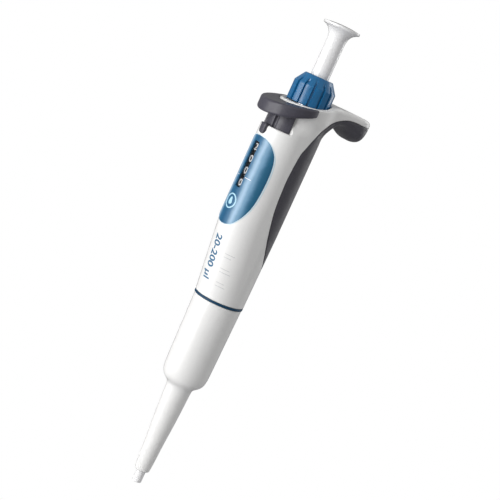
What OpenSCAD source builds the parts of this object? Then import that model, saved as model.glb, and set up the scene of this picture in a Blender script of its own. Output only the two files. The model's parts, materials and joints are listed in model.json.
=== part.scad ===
// A hand-held piston pipette with a four-digit volume counter and a tip ejector.
// It stands on Z, the plunger's axis, with the nozzle's lower end at z = 0. The label,
// counter and ejector button face the front, -Y; the grip and finger hook are at the back.

/* [Volume setting] */
// Plunger stroke at the largest volume, mm
stroke = 15; // [14:0.5:15]
// Extra travel that blows out the last drop, mm
blowout = 4; // [3:0.5:4]
// Ejector travel, mm
eject = 5.5; // [4:0.5:5.5]
// Piston radius, mm
piston_r = 2.06; // [1.9:0.02:2.06]

/* [Push button and knob] */
// Radius of the thumb disc on the push button
button_r = 9; // [8:0.1:9.5]
// Radius of the button's stem, a running fit in the drive sleeve
stem_r = 4.45; // [4.3:0.05:4.45]
// Radius over the ribs of the adjusting knob
knob_r = 10.3; // [9.8:0.1:10.6]
// Number of grooves round the adjusting knob
knob_grooves = 14; // [10:1:16]

/* [Handle] */
// Radius of the handle's side walls
side_r = 12.5; // [12.4:0.05:12.6]
// How far the front of the handle is set forward of the plunger axis
front_shift = 5; // [4.9:0.1:5]
// Half width of the finger hook
hook_half = 9.5; // [9:0.1:10]
// Depth of the soft grip laid into the back of the handle
grip_depth = 1.2; // [1:0.1:1.3]

/* [Counter] */
// Height of one number wheel, and so the spacing of the digits
wheel_pitch = 6; // [6:0.1:6]
// Radius of a number wheel's drum
drum_r = 4.7; // [4.4:0.05:4.7]
// Distance from the plunger axis to the counter shaft
counter_y = 11.9; // [11.9:0.1:11.9]
// Teeth on the drive gear
drive_teeth = 40; // [40:1:40]
// Teeth on the gear of the lowest wheel
first_teeth = 10; // [10:1:10]
// Teeth on each number wheel's own gear
wheel_teeth = 20; // [20:1:20]
// Teeth on each transfer pinion
pinion_teeth = 8; // [8:1:8]

/* [Tip end] */
// Radius of the nozzle that takes the disposable tip
nozzle_r = 2.35; // [2.2:0.05:2.4]
// Straight length of the nozzle
nozzle_len = 6.2; // [5.8:0.1:6.2]

/* [Hidden] */
$fn = 64;

// heights
z_seal_bore = 54.4;              // floor of the bore that holds the seals
z_spring_floor = 61.9;           // floor under the blow-out spring
z_cup_floor = 68.6;              // upper face of the blow-out cup's floor
z_cup_flange = 76;               // underside of the cup's flange
z_cup = 77.35;                   // rim of the blow-out cup
z_head = z_cup + stroke + 0.05;  // underside of the piston head
z_floor = 99.6;                  // underside of the handle's floor
z_bush_top = 105.6;              // top of the rod guide bush
z_taper = 135.5;                 // the handle is straight above this height
z_plate = 147.4;                 // underside of the counter frame's plate
z_wheel = 152.5;                 // underside of the lowest number wheel
z_spring_seat = 154;             // top of the ejector spring's seat
z_rod_flange = 170.2;            // underside of the ejector rod's flange
z_cap = 176.9;                   // underside of the counter cap
z_stem = 184.2;                  // underside of the ejector button's stem
z_ledge = 184.7;                 // ledge under the ejector button
z_collar = 190.3;                // underside of the collar round the knob
z_rim = 200.5;                   // mid height of that collar's sloping rim
// the plunger's collar must stay clear of the guide bush at full travel
z_plunger_collar = assert(z_bush_top + stroke + blowout < 126, "travel too long") 126;

// handle
foot_r = 12.3;                   // radius at the handle's lower end
back_shift = 0.4;
collar_r = 13;
hook_tip = 37.2;
stem_y = -7.7;                   // axis of the ejector button's stem

// running parts
rod_r = 1.5;                     // operating rod
rod_bore = 1.52;
sleeve_r = 5.9;                  // drive sleeve
sleeve_bore = 4.55;
screw_r = 3.4;                   // lead screw
key_half = 1.5;                  // half width of the setting nut's key
seal_r = 3.95;                   // parts held in the seal bore
seal_bore_r = piston_r + 0.04;
o_ring_r = 3;                    // centre line of the O-ring
joint = 0.01;                    // thin slice or overlap where solids join
flat_inset = 0.005;              // keeps flat sides just inside the rounds they join
spring_gap = 0.05;               // between a spring's end and its seat

// gears
wheel_module = 0.38;             // module of the carry gears
drive_module = 2 * counter_y / (drive_teeth + first_teeth);
pressure_angle = 25;
tooth_play = 0.03;               // taken off each flank
tooth_head = 0.8;                // above the pitch circle, in modules
tooth_foot = 1.15;               // below the pitch circle, in modules
carry_angle = 25;                // direction from counter shaft to pinion shaft
carry_distance = wheel_module * (wheel_teeth + pinion_teeth) / 2;

// places in plan, [x, y]
axis = [0, 0];
counter_at = [0, -counter_y];
pinion_at = counter_at + carry_distance * [cos(carry_angle), sin(carry_angle)];
rod_low = [-5.6, -6.9];          // ejector rod beside the plunger
rod_high = [-6.5, -9.3];         // ejector rod beside the counter
post_x = 5.75;
posts = [for (x = [-post_x, post_x]) [x, -12.6]];  // posts of the counter frame
shaft_r = 0.8;                   // counter shaft
pinion_shaft_r = 0.4;
ejector_rod_r = 1;
shaft_fit = 0.02;                // holes that hold shafts

shell_colour = "whitesmoke";
grip_colour = "#3b3b45";
wheel_colour = "#26262c";

// ---------- helpers ----------

// a smooth line through points, as a polygon's edge, with some steps to each span
function spline(before, from, to, after, t) = 0.5 * ((2 * from) + (to - before) * t
    + (2 * before - 5 * from + 4 * to - after) * t * t
    + (3 * from - before - 3 * to + after) * t * t * t);
function smooth(points, steps) = let (last = len(points) - 1)
    [for (i = [0:last - 1]) for (k = [0:steps - 1])
        spline(points[max(i - 1, 0)], points[i], points[i + 1],
            points[min(i + 2, last)], k / steps),
    points[last]];

// an involute gear's outline, with a tooth centred on angle 0
function involute(base, r) = r <= base ? 0
    : sqrt(r * r / (base * base) - 1) * 180 / PI - acos(base / r);
function polar(r, angle) = r * [cos(angle), sin(angle)];
function gear_points(teeth, size) =
    let (pitch_r = teeth * size / 2,
         base_r = pitch_r * cos(pressure_angle),
         tip_r = pitch_r + tooth_head * size,
         root_r = pitch_r - tooth_foot * size,
         half = 90 / teeth + involute(base_r, pitch_r)
             - tooth_play * 180 / (PI * pitch_r),
         low_r = max(base_r, root_r),
         flank = [for (k = [0:4]) low_r + (tip_r - low_r) * k / 4])
    [for (i = [0:teeth - 1]) let (middle = i * 360 / teeth)
        each concat(
            [polar(root_r, middle - half)],
            [for (r = flank) polar(r, middle - half + involute(base_r, r))],
            [for (k = [4:-1:0]) polar(flank[k],
                middle + half - involute(base_r, flank[k]))],
            [polar(root_r, middle + half)])];

module gear(teeth, size, height) linear_extrude(height)
    polygon(gear_points(teeth, size));

// an outline of [radius, z] turned round the Z axis
module turned(outline) rotate_extrude() polygon(outline);

module ring(outer, inner, low, high)
    turned([[inner, low], [outer, low], [outer, high], [inner, high]]);

// an upright cylinder at a place in plan
module pin(place, r, low, high) translate([place.x, place.y, low])
    cylinder(r = r, h = high - low);

// a compression spring between two seats, whose end turns lie flat
module coil(r, wire, seat_low, seat_high, turns, segments = 14) {
    sides = 6;
    count = turns * segments;
    wire_r = wire / 2;
    start = seat_low + spring_gap + wire_r;
    rise = seat_high - seat_low - 2 * spring_gap - 2 * wire_r;
    end_rise = wire * 0.98 / rise;
    function lift(turn) = turn < 1 ? turn * end_rise
        : turn > turns - 1 ? 1 - (turns - turn) * end_rise
        : end_rise + (turn - 1) / (turns - 2) * (1 - 2 * end_rise);
    points = [for (i = [0:count])
        let (turn = i / segments, z = start + rise * lift(turn))
        for (k = [0:sides - 1])
            let (around = 360 * k / sides, reach = r + wire_r * cos(around))
            [reach * cos(360 * turn), reach * sin(360 * turn), z + wire_r * sin(around)]];
    faces = concat(
        [[for (k = [0:sides - 1]) k]],
        [for (i = [0:count - 1]) for (k = [0:sides - 1])
            let (this = i * sides + k, next = i * sides + (k + 1) % sides)
            each [[this, this + sides, next], [next, this + sides, next + sides]]],
        [[for (k = [sides - 1:-1:0]) count * sides + k]]);
    polyhedron(points, faces);
}

// ---------- handle forms ----------

// two round columns joined, one forward and one back
module column(front_r, back_r, low, high, back_y = back_shift) {
    pin([0, -front_shift], front_r, low, high);
    pin([0, back_y], back_r, low, high);
    translate([0, 0, low]) linear_extrude(high - low)
        polygon([[-front_r + flat_inset, -front_shift], [front_r - flat_inset, -front_shift],
            [back_r - flat_inset, back_y], [-back_r + flat_inset, back_y]]);
}

// the handle's tapered foot, from a circle up to the oval section
module foot(low_r, front_r, back_r, low, high, back_y = back_shift) hull() {
    translate([0, 0, low]) cylinder(r = low_r, h = joint);
    translate([0, -front_shift, high - joint]) cylinder(r = front_r, h = joint);
    translate([0, back_y, high - joint]) cylinder(r = back_r, h = joint);
}

// foot and straight part together
module body(low_r, wall_r, low, high, lap = joint) {
    foot(low_r, wall_r, wall_r, low, z_taper);
    column(wall_r, wall_r, z_taper - lap, high);
}

module handle_outer() body(foot_r, side_r, z_floor, z_ledge);

// what is left inside a layer of some depth
module handle_core(depth)
    body(foot_r - depth, side_r - depth, z_floor - 1, z_ledge + 1, lap = 2 * joint);

// an outline of [y, z] given thickness across the handle
module side_shape(half, outline) rotate([90, 0, 90]) translate([0, 0, -half])
    linear_extrude(2 * half) polygon(outline);

// the finger hook's outline from above
module hook_plan(half, tip, low, high) {
    pin([0, tip - half], half, low, high);
    translate([-half + flat_inset, -6, low])
        cube([2 * (half - flat_inset), tip - half + 6, high - low]);
}

// the wide front of the ejector stem, cut off square at the back
module stem_front(r, low, high, back) intersection() {
    pin([0, -4.75], r, low, high);
    translate([-20, -20, low]) cube([40, 20 - back, high - low]);
}

// a block through the handle's front wall
module front_block(half, low, high)
    translate([-half, -25, low]) cube([2 * half, 17, high - low]);

// line between the white shell and the soft grip, [y, z]
grip_edge = smooth([[16, 115.5], [11, 119.2], [7.4, 124.2], [4.2, 130.9], [2, 137],
    [0.5, 143], [-0.9, 150], [-1.6, 159], [-1.7, 167], [-0.9, 177.4],
    [0.25, 181.2], [1.5, 184.6]], 2);
// its upper part, out along the finger hook, [y, z]
hook_edge = smooth([[1.5, 184.6], [3, 187.7], [5, 190.6], [7.1, 193.3], [9.1, 195.8],
    [11.7, 197.8], [14.3, 199.3], [18.6, 201], [23.5, 201.6], [28.6, 201.4],
    [33, 201.1], [37.6, 200.4]], 2);
// underside of the hook's lining, from tip to root, [y, z]
hook_under = smooth([[37.1, 199.6], [36.8, 197], [35.4, 194.6], [33, 192.8],
    [29.8, 192.1], [26.6, 192.6], [23.6, 194.1], [21, 196.1], [18.8, 197.4],
    [16.6, 197.6], [14.4, 196.8], [12.3, 195.2], [10.4, 192.9], [9, 189.6],
    [8.2, 186]], 2);
// top of the hook, from tip to root, [y, z]
hook_top = smooth([[37.6, 201.6], [36.8, 203.3], [34.5, 204.2], [28, 204.8],
    [20, 205], [14.5, 204.5], [11, 203.6], [8, 202.4]], 3);

module grip_zone() side_shape(20, concat(grip_edge, [[30, 184.6], [30, 110]]));

// ---------- handle ----------

module grip_pocket() intersection() {
    difference() {
        body(16, 17, z_floor, z_ledge - 0.5);
        handle_core(grip_depth);
    }
    grip_zone();
}

module back_wall() intersection() {
    column(side_r, side_r, z_ledge - 0.5, z_collar + 0.5);
    translate([-20, -9.6, z_ledge - 0.5]) cube([40, 21, 20]);
}

// collar round the knob, its rim sloping down to the front
module knob_collar() difference() {
    translate([0, 0, z_collar]) cylinder(r = collar_r, h = 16);
    side_shape(20, [[-20, z_rim - 2.9], [20, z_rim + 2.9], [20, 220], [-20, 220]]);
}

module finger_hook() intersection() {
    side_shape(hook_half, concat([[0, 184.6]], hook_edge, hook_top, [[0, 200]]));
    hook_plan(hook_half, hook_tip, 180, 206);
}

module handle_openings() {
    // inside
    foot(10.3, 10.9, 10.1, z_floor + 1.8, z_taper + joint, back_y = 0.3);
    column(10.9, 10.1, z_taper, z_ledge - 1.7, back_y = 0.3);
    // opening for the counter, under the label
    front_block(6.3, 148, 177.6);
    // way for the ejector stem and its travel
    stem_front(11.4, z_stem - eject - 0.1, z_collar, 9.6);
    pin([0, stem_y], 8.2, z_ledge - 1.8, z_collar);
    // room for the knob's clip, the upper bush and the knob
    pin(axis, 7.4, z_ledge - 1.8, 189.6);
    pin(axis, 8.05, 189.5, 209.5);
    pin(axis, 10.75, 197.2, 217.2);
    // slot for the stem guide
    translate([-2.05, -20, 182.2]) cube([4.1, 8, 3]);
    translate([0, -10, 182.25]) rotate([90, 0, 0]) cylinder(r = 2.05, h = 10);
    // floor: neck and ejector rod
    pin(axis, 6.1, z_floor - 1, z_floor + 2);
    pin(rod_low, 1.3, z_floor - 1, z_floor + 2);
}

module handle_shell() color(shell_colour) difference() {
    union() {
        difference() {
            handle_outer();
            grip_pocket();
        }
        back_wall();
        knob_collar();
        finger_hook();
    }
    handle_openings();
}

module grip_back() intersection() {
    difference() {
        handle_outer();
        handle_core(grip_depth - 0.03);
    }
    translate([0, 0.04, 0]) grip_zone();
    translate([-20, -20, 110]) cube([40, 60, 72.5]);
}

module hook_lining() intersection() {
    side_shape(hook_half - 0.6, concat(
        [for (i = [1:len(hook_edge) - 1]) hook_edge[i] - [0, 0.03]], hook_under));
    difference() {
        hook_plan(hook_half - 0.6, hook_tip - 0.4, 180, 205);
        column(side_r + 0.02, side_r + 0.02, 179, 192);
        cylinder(r = collar_r + 0.03, h = 220);
    }
}

// a band round the outside of the handle
module grip_band(inner, low, high) difference() {
    column(side_r + 1.2, side_r + 1.2, low, high);
    column(inner, inner, low - 0.5, high + 0.6);
}

// tongue that joins the grip to the hook's lining
module grip_tongue() intersection() {
    union() {
        difference() {
            grip_band(side_r + 0.02, 180.5, 197.4);
            cylinder(r = collar_r + 0.04, h = 220);
        }
        grip_band(side_r - 0.5, 179.5, 182.4);
    }
    translate([-7, 8, 179]) cube([14, 8, 19]);
}

module grip_lining() color(grip_colour) {
    grip_back();
    hook_lining();
    grip_tongue();
}

// right half of the label's outline, seen from the front, [x, z]
label_edge = smooth([[0, 179.2], [4.5, 178.7], [7.9, 176.9], [10.2, 173.2],
    [11.1, 167.5], [11.2, 158.5], [10.7, 148.8], [9.3, 142.2], [6.6, 137.1],
    [3.4, 135.1], [0, 134.6]], 3);

module label_face() rotate([90, 0, 0]) linear_extrude(30) polygon(concat(label_edge,
    [for (i = [len(label_edge) - 1:-1:0]) [-label_edge[i].x, label_edge[i].y]]));

// a layer that follows the handle's front
module front_layer(outer, inner, low, high)
    translate([0, -front_shift, 0]) ring(outer, inner, low, high);

module display_label() color("#1d6f98") difference() {
    union() {
        intersection() {
            front_layer(side_r + 0.3, side_r + 0.02, 132, 180);
            label_face();
        }
        // backing that fills the opening in the handle
        intersection() {
            front_layer(side_r + 0.2, 11.95, 148.1, 177.5);
            front_block(6.2, 148.1, 177.5);
        }
    }
    front_block(2.5, 153.05, 175.95);
}

module display_window() color("lightcyan", 0.4) intersection() {
    front_layer(side_r + 0.2, 12, 153.1, 175.9);
    front_block(2.45, 153.1, 175.9);
}

module stem_guide() color(grip_colour) intersection() {
    union() {
        translate([-2, -18.2, 182.2]) cube([4, 2.2, 3.1]);
        translate([0, -16, 182.2]) rotate([90, 0, 0]) cylinder(r = 2, h = 2.2);
    }
    difference() {
        pin([0, stem_y], 10.7, 170, 190);
        pin([0, stem_y], 8.3, 170, 190);
    }
}

module upper_bush() color("gainsboro") turned([[5.95, 190.1], [8, 190.1], [8, 197.25],
    [10.7, 197.25], [10.7, 198.9], [10.5, 199.1], [5.95, 199.1]]);

// ---------- plunger ----------

module push_button() color("white") turned(concat(
    [[rod_bore, 205], [stem_r - 0.3, 205], [stem_r, 205.3], [stem_r, 228]],
    smooth([[stem_r, 230.5], [stem_r + 0.1, 233], [stem_r + 1.1, 235.8],
        [button_r - 2, 237.6], [button_r - 0.2, 238.35]], 4),
    smooth([[button_r, 238.55], [button_r, 238.95], [button_r - 0.35, 239.3],
        [button_r - 3, 239.75], [2.5, 239.97]], 3),
    [[0, 240], [0, 234.9], [rod_bore, 234.9]]));

module operating_rod() color("silver") turned([[0, 95.45], [rod_r - 0.3, 95.45],
    [rod_r, 95.75], [rod_r, 234.5], [rod_r - 0.3, 234.8], [0, 234.8]]);

module plunger_collar() color("goldenrod") translate([0, 0, z_plunger_collar])
    turned([[rod_bore, 0], [5.1, 0], [5.5, 0.4], [5.5, 2.9], [5.1, 3.3], [rod_bore, 3.3]]);

module piston_head() color("gainsboro") turned([
    [piston_r + 0.02, z_head], [4.2, z_head], [4.2, z_head + 2], [2.9, z_head + 2],
    [2.9, 99], [rod_bore, 99], [rod_bore, 95.4], [piston_r + 0.02, 95.4]]);

module piston() color("silver") turned([[0, 45.4], [piston_r - 0.4, 45.4],
    [piston_r, 45.8], [piston_r, 95.3], [0, 95.3]]);

// ---------- volume setting ----------

module adjusting_knob() color("#1a5a96") difference() {
    turned([[sleeve_r + 0.02, 199.6], [knob_r - 0.3, 199.6], [knob_r, 199.9],
        [knob_r, 208.1], [knob_r - 0.4, 208.7], [7.7, 213.5], [7.2, 214],
        [4.7, 214], [4.7, 212], [sleeve_r + 0.02, 212]]);
    for (i = [0:knob_grooves - 1]) rotate(i * 360 / knob_grooves + 15.4)
        pin([knob_r + 0.25, 0], 0.75, 199, 208.2, $fn = 24);
}

module drive_sleeve() color("lightgray") turned([[sleeve_bore, 152.05],
    [sleeve_r, 152.05], [sleeve_r, 188.5], [5.45, 188.5], [5.45, 189.5],
    [sleeve_r, 189.5], [sleeve_r, 211.9], [sleeve_bore, 211.9]]);

module knob_clip() color("silver") difference() {
    ring(7, 5.5, 188.6, 189.4);
    translate([0, 0, 180]) linear_extrude(20) polygon([[0, 0], [10, -6], [10, 6]]);
}

module lead_screw() color("goldenrod") turned([[1.8, 129.7], [screw_r - 0.3, 129.7],
    [screw_r, 130], [screw_r, 148.7], [5.4, 148.7], [5.4, 149.45], [4.4, 149.45],
    [4.4, 152], [sleeve_bore - 0.02, 152], [sleeve_bore - 0.02, 158], [1.8, 158]]);

module drive_gear() color("ivory") difference() {
    translate([0, 0, 149.5]) rotate(-90) gear(drive_teeth, drive_module, 2.4);
    pin(axis, 4.42, 149, 153);
    for (angle = [0:60:300]) rotate(angle) pin([6.4, 0], 1.1, 149, 153, $fn = 32);
}

module setting_nut() color("ivory") difference() {
    union() {
        pin(axis, 6.2, 143, 148);
        translate([-8.4, -key_half, 143]) cube([16.8, 2 * key_half, 5]);
    }
    pin(axis, screw_r + 0.05, 142, 150);
}

module nut_cage() color("gainsboro") difference() {
    turned([[6.4, 104.45], [10, 104.45], [10, 106.45], [7.5, 106.45],
        [7.5, 148.3], [6.4, 148.3]]);
    // slots for the nut's key
    translate([-9, -key_half - 0.1, 127]) cube([18, 2 * key_half + 0.2, 30]);
    pin(rod_low, 1.3, 103.5, 107.5);
}

// ---------- counter ----------

module frame_plate() translate([0, 0, z_plate]) linear_extrude(1.8) difference() {
    intersection() {
        translate([0, -front_shift]) circle(r = 10.6);
        translate([-7.2, -17]) square([14.4, 8.9]);
    }
    circle(r = 7.6);
}

// seat of the ejector spring, with its arm
module spring_seat() translate([0, 0, z_spring_seat - 1.4]) linear_extrude(1.4)
    difference() {
        union() {
            translate(rod_high) circle(r = 2.1);
            polygon([[-7.6, -9.6], [-5.7, -10.2], [-5.2, -12.6], [-6.4, -12.9]]);
        }
        translate(rod_high) circle(r = 1.15);
    }

module counter_frame() color("silver") difference() {
    union() {
        frame_plate();
        for (place = posts) pin(place, 0.8, 149, z_cap - 0.05, $fn = 32);
        spring_seat();
    }
    pin(counter_at, shaft_r + shaft_fit, 146, 151, $fn = 32);
    pin(pinion_at, pinion_shaft_r + shaft_fit, 146, 151, $fn = 32);
    pin(rod_high, 1.55, 146, 151, $fn = 32);
    for (place = posts) pin(place, 0.42, 173, 178, $fn = 24);
}

module counter_cap() color("silver") translate([0, 0, z_cap]) linear_extrude(1)
    difference() {
        union() {
            translate(counter_at) circle(r = 2.4);
            for (place = posts) translate(place) circle(r = 1.2);
            // bar between the posts, and arm to the pinion shaft
            polygon([[-post_x, -13.7], [post_x, -13.7], [post_x, -11.8], [-post_x, -11.8]]);
            polygon([[1, -12.5], [post_x, -12.4], pinion_at + [0.8, 0],
                pinion_at - [0.8, 0]]);
            translate(pinion_at) circle(r = 1);
        }
        translate(counter_at) circle(r = shaft_r + shaft_fit);
        translate(pinion_at) circle(r = pinion_shaft_r + shaft_fit);
        for (place = posts) translate(place) circle(r = 0.5);
    }

module counter_screws() color("gray") for (place = posts) translate(place)
    difference() {
        turned([[0, 173.2], [0.4, 173.2], [0.4, 177.9], [0.95, 177.9], [0.95, 178.4],
            [0.8, 178.55], [0, 178.55]], $fn = 32);
        translate([-2, -0.12, 178.25]) cube([4, 0.24, 1]);
    }

module counter_shaft() color("silver")
    pin(counter_at, shaft_r, z_plate, z_plate + 30.9, $fn = 32);

module pinion_shaft() color("silver")
    pin(pinion_at, pinion_shaft_r, z_plate, z_plate + 30.9, $fn = 32);

// one number wheel, counted from the lowest: gear, drum and plain locking disc
module wheel(i) translate([0, -counter_y, z_wheel + i * wheel_pitch]) difference() {
    union() {
        if (i > 0) rotate(carry_angle + 180 / wheel_teeth)
            gear(wheel_teeth, wheel_module, 1.1);
        else {
            translate([0, 0, -2.9]) rotate(90 + 180 / first_teeth)
                gear(first_teeth, drive_module, 2.2);
            pin(axis, 1.7, -0.8, 1.2, $fn = 48);
        }
        pin(axis, drum_r, 1.05, 4.9);
        pin(axis, 3.2, 4.8, 5.9);
    }
    pin(axis, shaft_r + 0.06, -4, 8, $fn = 32);
}

module wheel_tenths() color(wheel_colour) wheel(0);
module wheel_units() color(wheel_colour) wheel(1);
module wheel_tens() color(wheel_colour) wheel(2);
module wheel_hundreds() color(wheel_colour) wheel(3);

// the pinion that carries from wheel i to the next
module carry_pinion(i) translate([pinion_at.x, pinion_at.y,
    z_wheel + i * wheel_pitch + 5]) difference() {
    rotate(carry_angle + 180) gear(pinion_teeth, wheel_module, 2);
    pin(axis, pinion_shaft_r + 0.06, -1, 3, $fn = 32);
}

module transfer_pinion_1() color("ivory") carry_pinion(0);
module transfer_pinion_2() color("ivory") carry_pinion(1);
module transfer_pinion_3() color("ivory") carry_pinion(2);

// ---------- ejector ----------

// room for the collar round the knob
module collar_room() pin(axis, collar_r + 0.2, 170, 210);

// thumb pad, wrapped round the front of the collar
module thumb_pad() difference() {
    pin([0, -7.75], 15, 180, 205);
    collar_room();
    translate([-20, -2, 170]) cube([40, 20, 40]);
    // clear of the handle's side walls when pressed
    intersection() {
        pin([0, -front_shift], side_r + 0.2, 170, 196.5);
        translate([-20, -9.8, 170]) cube([40, 20, 40]);
    }
    // underside rises to the back, top falls to the front
    side_shape(20, [[-30, 170], [-30, 187.6], [-22.8, 189.4], [-14, 192.3],
        [-1, 197.2], [8, 197.2], [8, 170]]);
    side_shape(20, [[-30, 210], [-30, 195], [-22.8, 195.9], [-12, 198.3],
        [-1, 200.7], [8, 200.7], [8, 210]]);
}

// stem, part of it under the collar
module ejector_stem() {
    pin([0, stem_y], 8, z_stem, 190);
    stem_front(11.2, z_stem, 190, 9.75);
    difference() {
        pin([0, stem_y], 8, z_stem, 194);
        collar_room();
    }
}

module ejector_button() color(grip_colour) difference() {
    union() {
        thumb_pad();
        ejector_stem();
    }
    pin(axis, 7.3, 170, 210);
    // grooves either side of the front tongue
    for (x = [-3.6, 3.6]) pin([x, -14.9], 0.8, 180, 191.5, $fn = 32);
    pin(rod_high, ejector_rod_r + shaft_fit, 180, 187);
}

// two upright lengths joined by a slanting one between the knees
module ejector_rod() color("silver") {
    low_knee = concat(rod_low, 140);
    high_knee = concat(rod_high, 145.5);
    slant = high_knee - low_knee;
    pin(rod_low, ejector_rod_r, 94.6, low_knee.z, $fn = 32);
    for (knee = [low_knee, high_knee]) translate(knee) sphere(r = 1.12, $fn = 32);
    translate(low_knee) rotate([0, acos(slant.z / norm(slant)), atan2(slant.y, slant.x)])
        cylinder(r = ejector_rod_r, h = norm(slant), $fn = 32);
    pin(rod_high, ejector_rod_r, high_knee.z, 186.8, $fn = 32);
    pin(rod_high, 1.9, z_rod_flange, z_rod_flange + 1.2, $fn = 32);
}

module ejector_spring() color("silver") translate(rod_high)
    coil(1.6, 0.5, z_spring_seat, z_rod_flange, 10, segments = 12);

module shell_collar() color("gainsboro") difference() {
    ring(10.3, 6.68, 94, 96.8);
    pin(rod_low, ejector_rod_r + shaft_fit, 94.5, 98.5, $fn = 32);
}

// up the outside, then down the inside
module ejector_shell() color(shell_colour) turned(concat(
    smooth([[3.45, 6.3], [3.78, 6.8], [4, 9], [4.28, 13], [4.55, 19], [4.95, 25.3],
        [5.35, 30.8], [5.8, 38], [6.08, 44], [6.35, 49.5]], 3),
    smooth([[6.5, 51.6], [6.95, 53.3], [8, 54.6], [9.5, 56], [10.6, 57.6],
        [11.1, 59.4], [11.35, 62]], 3),
    [[12.1, 98], [11.8, 98.3], [10.8, 98.3], [10.5, 90], [9.9, 62]],
    smooth([[9.75, 60], [9.2, 58.3], [8.1, 57], [6.8, 55.7], [5.9, 54.3],
        [5.6, 52]], 2),
    [[5.2, 46], [4.8, 40], [4.5, 34], [4.15, 29], [3.65, 23], [3.3, 17], [2.95, 10.2],
        [2.55, 7], [2.55, 6.3]]));

module seam_ring() color("#12364a") turned([[10.9, 98.5], [12.3, 98.5],
    [12.42, 98.7], [12.42, 99.35], [12.3, 99.55], [10.9, 99.55]]);

// ---------- tip end ----------

module coupling_sleeve() color("gainsboro") turned([[4.5, 77.45], [7.65, 77.45],
    [7.65, 84.4], [9.1, 84.4], [9.1, 87.4], [6.6, 87.4], [6.6, 99.55],
    [6, 99.55], [6, 104.4], [4.5, 104.4]]);

module coupling_nut() color("silver") difference() {
    ring(7.5, 6.05, 101.45, 104.4);
    for (angle = [0:90:270]) rotate(angle)
        translate([6.9, -0.6, 102.8]) cube([2, 1.2, 3]);
}

module rod_guide_bush() color("goldenrod") turned([[1.55, 100.9], [4.47, 100.9],
    [4.47, 104.45], [5.5, 104.45], [5.5, z_bush_top], [1.55, z_bush_top]]);

// up the outside, then down the bore
module tip_cone() color("white") turned([[1.2, 0], [nozzle_r, 0],
    [nozzle_r, nozzle_len], [2.75, 10], [3.1, 17], [3.45, 23], [3.95, 29], [4.3, 34],
    [4.6, 40], [4.95, 46], [5.15, 49.2], [5.15, 59.2], [7.6, 59.2], [9.1, 60.7],
    [9.1, 84.35], [7.7, 84.35], [7.7, z_spring_floor], [4, z_spring_floor],
    [4, z_seal_bore], [2.3, z_seal_bore], [2.3, 22.5], [1.2, 21.4]]);

module primary_spring() color("silver") coil(3.3, 0.6, z_cup_floor, z_head, 11);

module blowout_cup() color("gainsboro") turned([[2.3, 67.4], [4.75, 67.4],
    [4.75, z_cup_flange], [7.3, z_cup_flange], [7.3, z_cup], [3.95, z_cup],
    [3.95, z_cup_floor], [2.3, z_cup_floor]]);

module blowout_spring() color("silver") coil(6.2, 0.9, z_spring_floor, z_cup_flange, 7);

module piston_seal() color("white") ring(seal_r, seal_bore_r, z_seal_bore + 0.05, 56.4);

module piston_o_ring() color("#222222") translate([0, 0, 57.35]) rotate_extrude()
    translate([o_ring_r, 0]) circle(r = o_ring_r - seal_bore_r, $fn = 32);

module seal_retainer() color("goldenrod") ring(seal_r, 2.3, 58.35, z_spring_floor - 0.1);

handle_shell();
grip_lining();
display_label();
display_window();
stem_guide();
upper_bush();
push_button();
operating_rod();
plunger_collar();
adjusting_knob();
drive_sleeve();
knob_clip();
lead_screw();
drive_gear();
setting_nut();
nut_cage();
counter_frame();
counter_cap();
counter_screws();
counter_shaft();
pinion_shaft();
wheel_tenths();
wheel_units();
wheel_tens();
wheel_hundreds();
transfer_pinion_1();
transfer_pinion_2();
transfer_pinion_3();
ejector_button();
ejector_rod();
ejector_spring();
shell_collar();
ejector_shell();
seam_ring();
coupling_sleeve();
coupling_nut();
rod_guide_bush();
tip_cone();
piston_head();
piston();
primary_spring();
blowout_cup();
blowout_spring();
piston_seal();
piston_o_ring();
seal_retainer();
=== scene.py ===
"""A hand-held pipette, standing upright on the z axis with its tip at z = 0.

Its label and ejector pad face -y (the front) and its finger hook points to +y (the back).
Shapes are worked out in millimetres. Lights and camera are in metres.
"""

import json
import math
from functools import reduce

import bpy
import bmesh
import numpy as np
from mathutils import Matrix, Vector


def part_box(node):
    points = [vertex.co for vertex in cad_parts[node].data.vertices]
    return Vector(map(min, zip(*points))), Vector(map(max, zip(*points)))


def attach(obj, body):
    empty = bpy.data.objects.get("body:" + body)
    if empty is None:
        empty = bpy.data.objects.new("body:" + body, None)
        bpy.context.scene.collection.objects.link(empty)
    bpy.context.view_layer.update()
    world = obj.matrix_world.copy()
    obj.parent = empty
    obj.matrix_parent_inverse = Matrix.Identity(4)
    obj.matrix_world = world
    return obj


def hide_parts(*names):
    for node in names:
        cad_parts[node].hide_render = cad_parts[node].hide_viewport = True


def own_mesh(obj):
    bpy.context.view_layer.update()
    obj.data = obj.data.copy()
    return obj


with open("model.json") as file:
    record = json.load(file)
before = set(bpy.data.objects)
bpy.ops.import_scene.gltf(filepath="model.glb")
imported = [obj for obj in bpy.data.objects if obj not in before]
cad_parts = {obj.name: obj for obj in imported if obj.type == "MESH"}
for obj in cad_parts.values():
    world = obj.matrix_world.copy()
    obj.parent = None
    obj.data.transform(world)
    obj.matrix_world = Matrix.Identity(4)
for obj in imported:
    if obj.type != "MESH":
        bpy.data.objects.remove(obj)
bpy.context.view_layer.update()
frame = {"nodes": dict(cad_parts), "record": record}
scene = bpy.context.scene
MM = 0.001


def heights(node):
    """A node's lowest and highest z in millimetres."""
    low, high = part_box(node)
    return low.z * 1000, high.z * 1000


# ---------------------------------------------------------------- sizes

# Heights of the handle, from the CAD where it gives them
SEAM_LOW, SEAM_HIGH = heights("seam_ring")
GUIDE_LOW, GUIDE_HIGH = heights("stem_guide")
Z_FLOOR = SEAM_HIGH + 0.05
Z_TAPER = 137.5              # above this the handle's section is constant
Z_LEDGE = GUIDE_HIGH - 0.6   # top of the handle's front wall
Z_COLLAR = 190.3             # foot of the round collar
Z_RIM = 200.7                # height of the collar's sloping rim on the axis

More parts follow.
